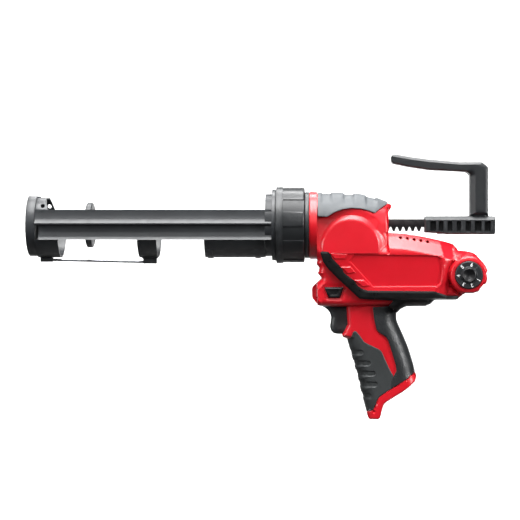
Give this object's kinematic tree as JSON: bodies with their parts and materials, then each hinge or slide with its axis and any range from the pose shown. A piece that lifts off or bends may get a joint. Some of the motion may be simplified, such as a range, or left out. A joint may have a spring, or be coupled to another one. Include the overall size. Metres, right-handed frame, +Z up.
{
  "type": "caulking gun",
  "caption": "Battery caulking gun: open cartridge carriage, toothed push rod with hooked handle, pistol-grip motor housing, trigger, lock button and speed dial.",
  "frame": {"origin": "middle of the pistol grip on the seam plane between the housing halves", "axes": "+X backwards along the push rod (the barrel points to -X), +Z up, +Y to the tool's right side"},
  "size_m": [0.4643, 0.0762, 0.2632],
  "materials": {
    "red_housing": "fine moulded texture, satin",
    "grey_rubber": "soft touch",
    "black_rubber": "soft touch, slightly glossy",
    "black_plastic": "satin moulded nylon",
    "grey_plastic": "satin",
    "black_paint": "satin powder coat",
    "black_steel": "black oxide",
    "bright_steel": "ground",
    "zinc_steel": "zinc plated",
    "die_cast": "as cast",
    "bronze": "sintered",
    "circuit_board": "solder mask",
    "lead_insulation": "smooth"
  },
  "bodies": {
    "housing": {"housing_left": "red_housing", "housing_right": "red_housing", "top_pad": "grey_rubber", "belt_left": "black_rubber", "belt_right": "black_rubber", "grip_skin_left": "black_rubber", "grip_skin_right": "black_rubber", "nose_ring": "black_plastic", "gear_frame_left": "zinc_steel", "gear_frame_right": "zinc_steel", "output_bearings": "bronze", "layshaft_bearings": "bronze", "rack_guide": "black_plastic", "gearbox_case": "die_cast", "motor_can": "zinc_steel", "motor_end_cap": "black_plastic", "switch_body": "black_plastic", "dial_sensor": "black_plastic", "control_board": "circuit_board", "switch_leads": "lead_insulation", "motor_leads": "lead_insulation", "terminal_block": "black_plastic", "battery_terminals": "bronze", "housing_screws": "zinc_steel", "trigger_spring": "zinc_steel"},
    "carriage": {"front_plate": "black_paint", "rail_left": "black_paint", "rail_right": "black_paint", "front_band": "black_paint", "middle_band": "black_paint", "rear_saddle": "black_paint", "barrel_ring": "black_paint", "wire_bracket": "black_paint", "wire_clip": "black_paint"},
    "puncture_wire": {"puncture_wire": "bright_steel"},
    "collar": {"locking_collar": "black_plastic"},
    "push_rod": {"rack": "black_steel", "plunger": "black_paint", "plunger_screw": "zinc_steel", "rod_handle": "black_plastic", "handle_screws": "zinc_steel"},
    "output_shaft": {"output_shaft": "bright_steel", "rack_pinion": "bright_steel", "output_gear": "bright_steel"},
    "layshaft": {"layshaft": "bright_steel"},
    "bevel_gear": {"bevel_gear": "bright_steel"},
    "motor_rotor": {"motor_rotor": "bright_steel", "sun_gear": "bright_steel"},
    "planet_carrier": {"planet_carrier": "bright_steel", "bevel_pinion": "bright_steel"},
    "planet_1": {"planet_gear_1": "bright_steel"},
    "planet_2": {"planet_gear_2": "bright_steel"},
    "planet_3": {"planet_gear_3": "bright_steel"},
    "trigger": {"trigger": "black_plastic"},
    "lock_button": {"lock_button": "black_plastic"},
    "speed_dial": {"speed_dial": "black_plastic", "dial_cap": "grey_plastic"}
  },
  "joints": [
    {"name": "rack_slide", "type": "slide", "parent": "housing", "child": "push_rod", "axis": [-1, 0, 0], "range_m": [-0.17, 0.0355]},
    {"name": "output_turn", "type": "hinge", "parent": "housing", "child": "output_shaft", "pos_m": [-0.029, 0, 0.1066], "axis": [0, 1, 0], "range_deg": [-148, 698]},
    {"name": "layshaft_turn", "type": "hinge", "parent": "housing", "child": "layshaft", "pos_m": [-0.029, 0, 0.0806], "axis": [0, 1, 0], "range_deg": [-2322, 487]},
    {"name": "motor_spin", "type": "hinge", "parent": "housing", "child": "motor_rotor", "pos_m": [0, 0, 0.0806], "axis": [1, 0, 0], "continuous": true},
    {"name": "carrier_turn", "type": "hinge", "parent": "housing", "child": "planet_carrier", "pos_m": [0, 0, 0.0806], "axis": [1, 0, 0], "continuous": true},
    {"name": "bevel_turn", "type": "hinge", "parent": "housing", "child": "bevel_gear", "pos_m": [-0.029, 0, 0.0806], "axis": [0, 1, 0], "continuous": true},
    {"name": "planet_1_turn", "type": "hinge", "parent": "planet_carrier", "child": "planet_1", "pos_m": [0, 0, 0.09005], "axis": [1, 0, 0], "continuous": true},
    {"name": "planet_2_turn", "type": "hinge", "parent": "planet_carrier", "child": "planet_2", "pos_m": [0, -0.00818, 0.07587], "axis": [1, 0, 0], "continuous": true},
    {"name": "planet_3_turn", "type": "hinge", "parent": "planet_carrier", "child": "planet_3", "pos_m": [0, 0.00818, 0.07587], "axis": [1, 0, 0], "continuous": true},
    {"name": "carriage_turn", "type": "hinge", "parent": "housing", "child": "carriage", "pos_m": [-0.09, 0, 0.125], "axis": [1, 0, 0], "range_deg": [-180, 180]},
    {"name": "collar_turn", "type": "hinge", "parent": "housing", "child": "collar", "pos_m": [-0.09, 0, 0.125], "axis": [1, 0, 0], "range_deg": [-60, 0]},
    {"name": "puncture_wire_swing", "type": "hinge", "parent": "carriage", "child": "puncture_wire", "pos_m": [-0.333, 0, 0.0904], "axis": [0, 1, 0], "range_deg": [0, 178]},
    {"name": "trigger_pull", "type": "slide", "parent": "housing", "child": "trigger", "axis": [1, 0, 0], "range_m": [0, 0.008], "stiffness_N_per_m": 900, "springref_m": -0.004, "deforming": ["trigger_spring"]},
    {"name": "lock_button_slide", "type": "slide", "parent": "housing", "child": "lock_button", "axis": [0, 1, 0], "range_m": [-0.003, 0.003]},
    {"name": "speed_dial_turn", "type": "hinge", "parent": "housing", "child": "speed_dial", "pos_m": [0.0873, -0.02, 0.0758], "axis": [0, 1, 0], "range_deg": [0, 200]}
  ],
  "couplings": [
    {"joint": "output_turn", "follows": "rack_slide", "rad_per_m": -71.429},
    {"joint": "layshaft_turn", "follows": "rack_slide", "rad_per_m": 238.1},
    {"joint": "carrier_turn", "follows": "motor_spin", "ratio": 0.22222},
    {"joint": "bevel_turn", "follows": "motor_spin", "ratio": -0.14815},
    {"joint": "planet_1_turn", "follows": "motor_spin", "ratio": -0.62222},
    {"joint": "planet_2_turn", "follows": "motor_spin", "ratio": -0.62222},
    {"joint": "planet_3_turn", "follows": "motor_spin", "ratio": -0.62222}
  ]
}
